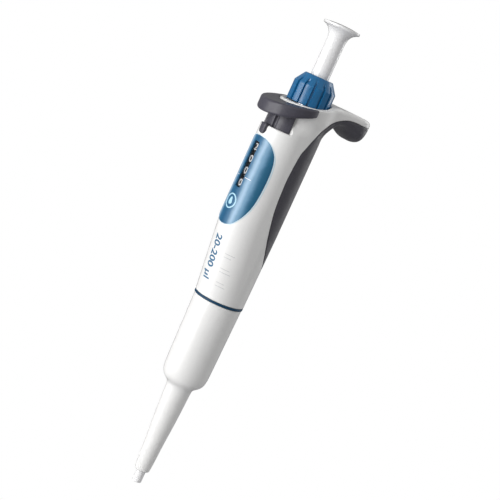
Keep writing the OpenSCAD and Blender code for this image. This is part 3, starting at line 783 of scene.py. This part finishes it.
def tip_cone():
    top = heights("tip_cone")[1]
    profile = fillet([
        (1.2, 0.25), (1.2, 0), (2.3, 0), (2.35, 0.6), (2.35, 6.2), (2.75, 10), (3.1, 17),
        (3.45, 23), (3.95, 29), (4.3, 34), (4.6, 40), (4.95, 46), (5.15, 49.2), (5.15, 59.2),
        (7.6, 59.2), (9.1, 60.7), (9.1, top), (7.7, top), (7.7, 61.9), (4, 61.9), (4, 54.4),
        (2.3, 54.4), (2.3, 22.5), (1.2, 21.4), (1.2, 0.25)], 0.35, 4)
    replace_turned("tip_cone", profile, "button_white", "handle")


def push_button():
    """Stem, flare, and a rimmed disc with a shallow dome."""
    stem = BUTTON_STEM_R
    foot_z, flare_z, top_z = 205.0, 229.5, 240.0
    foot = fillet([(1.0, foot_z), (stem, foot_z), (stem, flare_z)], 0.3, 4)[1:-1]
    flare = spline([
        (stem, flare_z), (stem + 0.03, 231.5), (stem + 0.22, 233.4), (stem + 0.75, 235.2),
        (stem + 1.8, 236.7), (stem + 3.1, 237.6), (stem + 4.1, 238.05)])
    rim = fillet([(8.55, 238.05), (9.0, 238.2), (9.0, 239.2), (8.6, 239.3)], [0, 0.3, 0.35, 0])
    dome = spline([(8.6, 239.3), (7.4, 239.5), (5.2, 239.78), (2.6, 239.95), (0.001, top_z)], 5)
    profile = [(0, foot_z)] + foot + flare + rim + dome[:-1] + [(0, top_z)]
    replace_turned("push_button", profile, "button_white", "plunger", sharp_angle=50,
                   closed=False)


def knob_radius(r, angle):
    """Grooves between flat ribs, fading out towards the middle of the shoulder."""
    first_groove = math.radians(15.4)
    depth, flat, flank = 0.95, 0.105, 0.05  # flat and flank are shares of a groove's pitch
    u = ((angle - first_groove) * KNOB_GROOVES / (2 * math.pi)) % 1.0
    u = min(u, 1 - u)  # 0 at a groove's middle, 0.5 at a rib's
    fade = np.clip((r - 8.2) / 1.2, 0, 1)
    return r - depth * ease((flat - u) / flank + 1) * fade


def adjusting_knob():
    foot, top = heights("adjusting_knob")
    profile = fillet([
        (5.92, foot + 0.5), (5.92, foot), (KNOB_R, foot), (KNOB_R, 209.0), (6.9, top),
        (4.75, top), (4.75, top - 2), (5.92, top - 2), (5.92, foot + 0.5)],
        [0, 0.2, 0.35, 0.7, 0.8, 0.25, 0.1, 0.1, 0], 6)
    rows = []
    for (r, z), (next_r, next_z) in zip(profile, profile[1:]):
        rising = next_z - z > 1
        pieces = 1
        if rising and abs(r - KNOB_R) < 0.02 and abs(next_r - KNOB_R) < 0.02:
            pieces = 6  # the upright side
        elif rising and r > 9 and next_r < 8:
            pieces = 8  # the sloping shoulder
        rows.append((r, z))
        rows += [(r + (next_r - r) * k / pieces, z + (next_z - z) * k / pieces)
                 for k in range(1, pieces)]
    rows.append(profile[-1])
    replace_turned("adjusting_knob", rows, "knob_blue", "volume_knob", sharp_angle=40,
                   segments=KNOB_GROOVES * GROOVE_SEGMENTS, radius_at=knob_radius)


ejector_shell()
seam_ring()
tip_cone()
push_button()
adjusting_knob()


# ---------------------------------------------------------------- patches on the handle's front

def front(x, z, lift=0.0):
    """The y of the handle's front surface, lifted outwards."""
    middle, _, radius = section_at(z, lift)
    return middle - math.sqrt(max(radius * radius - x * x, 0.01))


def slice_mesh(bm, axis, cell, spread):
    """Cuts a mesh at every multiple of cell between the lowest and highest of spread."""
    normal = [0, 0, 0]
    normal[axis] = 1
    place = math.floor(min(spread) / cell) * cell + cell
    while place < max(spread):
        point = [0, 0, 0]
        point[axis] = place
        bmesh.ops.bisect_plane(bm, geom=bm.verts[:] + bm.edges[:] + bm.faces[:],
                               plane_co=point, plane_no=normal)
        place += cell


def flat_patch(outline, hole, cell):
    """The outline less the hole, filled in the plane y = 0, facing -y and cut into cells."""
    bm = bmesh.new()
    edges = []
    for loop in (outline, hole):
        corners = [bm.verts.new((x, 0, z)) for x, z in loop]
        edges += [bm.edges.new(pair) for pair in zip(corners, corners[1:] + corners[:1])]
    bmesh.ops.triangle_fill(bm, use_beauty=True, use_dissolve=False, edges=edges,
                            normal=(0, -1, 0))
    slice_mesh(bm, 0, cell, [x for x, z in outline])
    slice_mesh(bm, 2, 3, [z for x, z in outline])
    bmesh.ops.remove_doubles(bm, verts=bm.verts, dist=1e-5)
    bmesh.ops.recalc_face_normals(bm, faces=bm.faces)
    for face in bm.faces:
        if face.normal.y > 0:
            face.normal_flip()
    return bm


def patch_mesh(outline, top, base, edge, cell=0.5, hole=()):
    """A closed patch with a rounded rim, wrapped on the handle's front.

    outline and hole are loops of (x, z). top and base are heights over the handle's surface,
    edge the width of the rounding, cell the width of the faces.
    """
    bm = flat_patch(outline, hole, cell)
    border = [e for e in bm.edges if e.is_boundary]
    inward = {}
    for e in border:
        along = e.verts[1].co - e.verts[0].co
        normal = Vector((-along.z, 0, along.x)).normalized()
        if (e.link_faces[0].calc_center_median() - e.verts[0].co).dot(normal) < 0:
            normal = -normal
        for v in e.verts:
            inward[v] = inward.get(v, Vector()) + normal
    steps = {v: n.normalized() * edge if n.length > 1e-6 else Vector()
             for v, n in inward.items()}
    verts = []

    def put(v, step_share, lift):
        step = steps.get(v, Vector())
        x = v.co.x + step.x * step_share
        z = v.co.z + step.z * step_share
        verts.append((x, front(x, z, lift), z))
        return len(verts) - 1

    face_top = {v: put(v, 1, top) for v in bm.verts}
    faces = [tuple(face_top[v] for v in face.verts) for face in bm.faces]
    # Down the rim: two rows of rounding, then the wall
    rim = {v: [face_top[v], put(v, 0.3, top - 0.3 * edge), put(v, 0, top - edge),
               put(v, 0, base)] for v in steps}
    for e in border:
        loop = e.link_loops[0]
        a, b = rim[loop.vert], rim[loop.link_loop_next.vert]
        faces += [(b[k], a[k], a[k + 1], b[k + 1]) for k in range(3)]
    face_back = {v: rim[v][3] if v in rim else put(v, 0, base) for v in bm.verts}
    faces += [tuple(face_back[v] for v in reversed(face.verts)) for face in bm.faces]
    bm.free()
    return verts, faces


def add_patch(name, finish, outline, **shape):
    add_mesh(name, *patch_mesh(outline, **shape), finish, "handle", sharp_angle=50)


def replace_with_patch(node, finish, outline, **shape):
    replace_node(node, *patch_mesh(outline, **shape), finish, "handle", sharp_angle=50)


def rounded(half_width, z_low, z_high, radius, pieces=5):
    """A rounded rectangle, centred on x = 0."""
    right, low, high = half_width - radius, z_low + radius, z_high - radius
    out = []
    for x, z, start in ((right, high, 0), (-right, high, 90), (-right, low, 180),
                        (right, low, 270)):
        for k in range(pieces + 1):
            angle = math.radians(start + 90 * k / pieces)
            out.append((x + radius * math.cos(angle), z + radius * math.sin(angle)))
    return out


def inset(loop, depth):
    points = np.array(loop)
    following = np.roll(points, -1, 0)
    along = following - np.roll(points, 1, 0)
    normals = np.stack([-along[:, 1], along[:, 0]], 1)
    normals /= np.maximum(np.linalg.norm(normals, axis=1), 1e-9)[:, None]
    twice_area = np.sum(points[:, 0] * following[:, 1] - following[:, 0] * points[:, 1])
    return [tuple(p) for p in points + normals * (depth if twice_area > 0 else -depth)]


window_low, window_high = heights("display_window")
right_edge = spline(LABEL_EDGE)
label_outline = right_edge + [(-x, z) for x, z in right_edge[1:-1][::-1]]
replace_with_patch("display_label", "label_blue", inset(label_outline, 0.22), top=0.20,
                   base=-0.75, edge=0.12,
                   hole=rounded(1.95, window_low - 0.05, window_high + 0.05, 0.35))
add_patch("label_rim", "edge_pale", inset(label_outline, -0.08), top=0.12, base=-0.3,
          edge=0.06, hole=inset(label_outline, 0.40))
replace_with_patch("display_window", "window_clear",
                   rounded(1.91, window_low - 0.01, window_high + 0.01, 0.33),
                   top=0.12, base=-0.5, edge=0.05)


# ---------------------------------------------------------------- figures on the number wheels

def glyph(text, height, bold):
    """The text as a closed mesh, upright in xz, centred in x and z, from y = 0 to y = 1."""
    curve = bpy.data.curves.new("glyph", "FONT")
    curve.body = text
    curve.align_x = "CENTER"
    curve.align_y = "CENTER"
    curve.size = 10.0
    curve.resolution_u = 5
    curve.extrude = 0.5
    curve.offset = bold
    obj = link_object("glyph", curve)
    depsgraph = bpy.context.evaluated_depsgraph_get()
    mesh = bpy.data.meshes.new_from_object(obj.evaluated_get(depsgraph))
    bpy.data.objects.remove(obj)
    bm = bmesh.new()
    bm.from_mesh(mesh)
    bpy.data.meshes.remove(mesh)
    bmesh.ops.remove_doubles(bm, verts=bm.verts, dist=1e-4)
    low, high = (Vector([pick(v.co[i] for v in bm.verts) for i in range(3)])
                 for pick in (min, max))
    scale = height / (high.y - low.y)
    middle = (low + high) / 2
    for v in bm.verts:
        place = (v.co - middle) * scale
        v.co = Vector((place.x, 1.0 if v.co.z > 0 else 0.0, place.y))
    return bm


def take_lists(bm):
    """A mesh's points and faces as lists. The mesh is freed."""
    bm.verts.ensure_lookup_table()
    verts = [tuple(v.co) for v in bm.verts]
    faces = [tuple(v.index for v in face.verts) for face in bm.faces]
    bm.free()
    return verts, faces


def digit(value):
    """A figure 2.7 mm wide, or less if its own shape is narrow."""
    bm = glyph(str(value), height=3.3, bold=0.12)
    width = max(v.co.x for v in bm.verts) * 2
    for v in bm.verts:
        v.co.x *= 2.7 / max(width, 2.3)
    slice_mesh(bm, 0, 0.4, [v.co.x for v in bm.verts])
    return take_lists(bm)


digits = [digit(value) for value in range(10)]
wheel_box_low, wheel_box_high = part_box("wheel_hundreds")
wheel_y = (wheel_box_high.y + wheel_box_low.y) * 500  # the mean, from metres to millimetres
for wheel, shown in SHOWN.items():
    middle_z = heights("wheel_" + wheel)[1] - WHEEL_HEIGHT + FIGURE_UP
    verts, faces = [], []
    for j in range(10):
        digit_verts, digit_faces = digits[(shown - j) % 10]
        first = len(verts)
        for x, y, z in digit_verts:
            angle = math.radians(-90 - 36 * j) + x / WHEEL_R
            r = WHEEL_R - 0.06 + 0.14 * y
            verts.append((r * math.cos(angle), wheel_y + r * math.sin(angle), middle_z + z))
        faces += [tuple(first + i for i in face) for face in digit_faces]
    fix_normals(add_mesh("figures_" + wheel, verts, faces, "print_white", wheel, smooth=False))


# ---------------------------------------------------------------- printed marks

def range_mark(x_middle=0.9, z_start=129.5, sunk=0.05, thick=0.06):
    """The volume range, reading downwards on the handle's front."""
    bm = glyph("20-200 µl", height=5.2, bold=0.22)
    slice_mesh(bm, 2, 0.5, [v.co.z for v in bm.verts])
    flat, faces = take_lists(bm)
    text_start = min(x for x, y, z in flat)
    verts = []
    for along, depth, up in flat:
        x, z = x_middle + up, z_start - (along - text_start)
        verts.append((x, front(x, z, -sunk + (thick + sunk) * depth), z))
    fix_normals(add_mesh("range_mark", verts, faces, "print_teal", "handle", smooth=False))


def bar(x_left, x_right, z, half_height):
    return [(x_left, z - half_height), (x_right, z - half_height),
            (x_right, z + half_height), (x_left, z + half_height)]


def circle_loop(radius, points=48):
    """A circle round the middle of the label's mark."""
    turns = [2 * math.pi * k / points for k in range(points)]
    return [(radius * math.cos(a), LABEL_MARK_Z + radius * math.sin(a)) for a in turns]


def drop_loop(points=40):
    """A circle whose upper half is drawn out to twice its height and narrowed."""
    out = []
    for k in range(points):
        angle = 2 * math.pi * k / points
        x, z = DROP_R * math.sin(angle), DROP_BULB_Z + DROP_R * math.cos(angle)
        if z > DROP_BULB_Z:
            z = DROP_BULB_Z + (z - DROP_BULB_Z) * 2.0
            x *= 1 - 0.35 * ((z - DROP_BULB_Z) / (2 * DROP_R))
        out.append((x, LABEL_MARK_Z + z))
    return out


range_mark()
# Fine lines on the right of the handle: (z, length)
PRINT_LINES = [(122.6, 3.4), (120.9, 2.6), (115.4, 3.2), (113.7, 3.6), (108.6, 2.9),
               (106.9, 3.3)]
LINES_LEFT = 7.2
for i, (z, length) in enumerate(PRINT_LINES):
    add_patch("print_line_%d" % i, "print_grey", bar(LINES_LEFT, LINES_LEFT + length, z, 0.14),
              top=0.05, base=-0.1, edge=0.03, cell=0.4)
add_patch("label_ring_mark", "print_pale_blue", circle_loop(3.7), hole=circle_loop(3.05),
          top=0.32, base=0.1, edge=0.04, cell=0.4)
add_patch("label_drop_mark", "print_pale_blue", drop_loop(),
          top=0.32, base=0.1, edge=0.04, cell=0.4)
mark_z = heights("wheel_tenths")[1] - WHEEL_HEIGHT + MARK_UP
for i, (x_left, x_right) in enumerate(((-4.0, -2.6), (2.6, 6.0))):
    add_patch("decimal_mark_%d" % i, "print_white", bar(x_left, x_right, mark_z, 0.11),
              top=0.31, base=0.1, edge=0.03, cell=0.4)


# ---------------------------------------------------------------- springs

def spring(node, body, coil_radius, wire, turns, centre=(0, 0), segments=40,
           sides=12):
    """A coil with closed ends, rising from its foot to fill the height of its CAD node."""
    low, high = heights(node)
    wire_radius = wire / 2
    rise = high - low - wire
    end_share = wire * 0.98 / rise  # of the rise, taken by each end turn
    count = turns * segments
    verts, faces = [], []
    for i in range(count + 1):
        t = i / segments
        if t < 1:
            share = t * end_share
        elif t > turns - 1:
            share = 1 - (turns - t) * end_share
        else:
            share = end_share + (t - 1) / (turns - 2) * (1 - 2 * end_share)
        angle = 2 * math.pi * t
        for k in range(sides):
            around = 2 * math.pi * k / sides
            r = coil_radius + wire_radius * math.cos(around)
            verts.append((centre[0] + r * math.cos(angle), centre[1] + r * math.sin(angle),
                          low + wire_radius + rise * share + wire_radius * math.sin(around)))
    for i in range(count):
        here, there = i * sides, (i + 1) * sides
        for k in range(sides):
            after = (k + 1) % sides
            faces.append((here + k, there + k, there + after, here + after))
    faces.append(tuple(range(sides))[::-1])
    faces.append(tuple(count * sides + k for k in range(sides)))
    obj = replace_node(node, verts, faces, "spring_steel", body, sharp_angle=50)
    fix_normals(obj)
    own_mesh(obj)


spring("primary_spring", "blowout_stage", coil_radius=3.3,
       wire=0.6, turns=11)
spring("blowout_spring", "handle", coil_radius=6.2, wire=0.9,
       turns=7)
spring("ejector_spring", "handle", coil_radius=1.6, wire=0.5,
       turns=10, centre=EJECTOR_SPRING_AT, segments=30, sides=10)

# ---------------------------------------------------------------- finishes on the CAD's pieces

slots = {part["node"]: part["material_slot"] for part in frame["record"]["subparts"]}
for name, obj in frame["nodes"].items():
    obj.data.materials.clear()
    obj.data.materials.append(MATERIALS[slots[name]])


# ---------------------------------------------------------------- floor and world

def add_floor():
    """A floor that the camera sees as pure white and that bounces light as pale grey."""
    bpy.ops.mesh.primitive_plane_add(size=6.0, location=(0, 0, -0.30))
    floor = bpy.context.object
    floor.name = "floor"
    pale = bpy.data.materials.new("floor_pale")
    tree = empty_tree(pale)
    white = add_node(tree, "Emission", {"Color": (1, 1, 1, 1)}).outputs[0]
    grey = add_node(tree, "BsdfDiffuse", {"Color": (0.45, 0.45, 0.46, 1)}).outputs[0]
    add_node(tree, "OutputMaterial", {0: camera_switch(tree, lit=grey, seen=white)})
    floor.data.materials.append(pale)


def add_world():
    """White to the camera. It lights the scene mostly from above."""
    world = bpy.data.worlds.new("studio")
    scene.world = world
    tree = empty_tree(world)
    white = add_node(tree, "Background", {"Color": (1, 1, 1, 1), "Strength": 1.0})
    ambient = add_node(tree, "Background", {"Color": (1.0, 0.995, 0.985, 1), "Strength": 0.40})
    # The ambient's strength follows the direction that the light comes from
    incoming = add_node(tree, "NewGeometry").outputs["Incoming"]
    height = add_node(tree, "VectorMath", {0: incoming, 1: (-0.12, 0.12, -0.98)},
                      operation="DOT_PRODUCT").outputs["Value"]
    strength = map_range(tree, height, source=(-0.9, 0.7), to=(0.03, 0.56))
    tree.links.new(strength, ambient.inputs["Strength"])
    shader = camera_switch(tree, lit=ambient.outputs[0], seen=white.outputs[0])
    add_node(tree, "OutputWorld", {0: shader})


add_floor()
add_world()

# ---------------------------------------------------------------- camera

CAMERA_AZIMUTH = math.radians(53.0)  # from -y towards +x
CAMERA_ROLL = math.radians(24.41)
CAMERA_DISTANCE = 0.594              # level distance from the z axis
CAMERA_Z = 0.2155
TARGET_Z = 0.127

drop_to_target = CAMERA_Z - TARGET_Z
elevation = math.atan(drop_to_target / CAMERA_DISTANCE)
sin_az, cos_az = math.sin(CAMERA_AZIMUTH), math.cos(CAMERA_AZIMUTH)
sin_el, cos_el = math.sin(elevation), math.cos(elevation)
level_right = Vector((cos_az, sin_az, 0))
level_up = Vector((-sin_el * sin_az, sin_el * cos_az, cos_el))
camera_back = Vector((cos_el * sin_az, -cos_el * cos_az, sin_el))
camera_right = level_right * math.cos(CAMERA_ROLL) + level_up * math.sin(CAMERA_ROLL)
camera_up = -level_right * math.sin(CAMERA_ROLL) + level_up * math.cos(CAMERA_ROLL)

camera_data = bpy.data.cameras.new("camera")
camera = link_object("camera", camera_data)
camera_data.sensor_width = 36.0
camera_data.lens = 91.3104
camera_data.shift_x = 0.0144
camera_data.shift_y = -0.0072
camera_data.clip_start = 0.01
camera_data.clip_end = 20
camera_at = Vector((0, 0, TARGET_Z)) + camera_back * math.hypot(CAMERA_DISTANCE, drop_to_target)
columns = (camera_right, camera_up, camera_back, camera_at)
camera.matrix_world = Matrix([[c[i] for c in columns] for i in range(3)] + [[0, 0, 0, 1]])
scene.camera = camera


# ---------------------------------------------------------------- lights

def area_light(name, right, up, back, width, height, power, tint):
    """A soft light placed along the camera's own directions, aimed at the object's middle."""
    light = bpy.data.lights.new(name, "AREA")
    light.energy = power
    light.shape = "RECTANGLE"
    light.size = width
    light.size_y = height
    light.color = tint
    obj = link_object(name, light)
    middle = Vector((0, 0, 0.125))
    place = middle + camera_right * right + camera_up * up + camera_back * back
    obj.location = place
    obj.rotation_mode = "QUATERNION"
    obj.rotation_quaternion = (middle - place).to_track_quat("-Z", "Y")


area_light("key", right=-0.66, up=0.28, back=0.72, width=0.40, height=0.9, power=6.6,
           tint=(1.0, 0.995, 0.985))
area_light("side", right=-0.90, up=0.10, back=0.22, width=0.40, height=0.9, power=5.0,
           tint=(1.0, 0.995, 0.99))
area_light("fill", right=0.10, up=0.20, back=1.10, width=0.50, height=0.50, power=0.5,
           tint=(0.97, 0.98, 1.0))
area_light("rim", right=0.75, up=0.10, back=-0.45, width=0.30, height=0.8, power=2.5,
           tint=(1, 1, 1))

scene.view_settings.view_transform = "Standard"
scene.view_settings.look = "None"
scene.view_settings.exposure = 0.0
scene.view_settings.gamma = 1.0
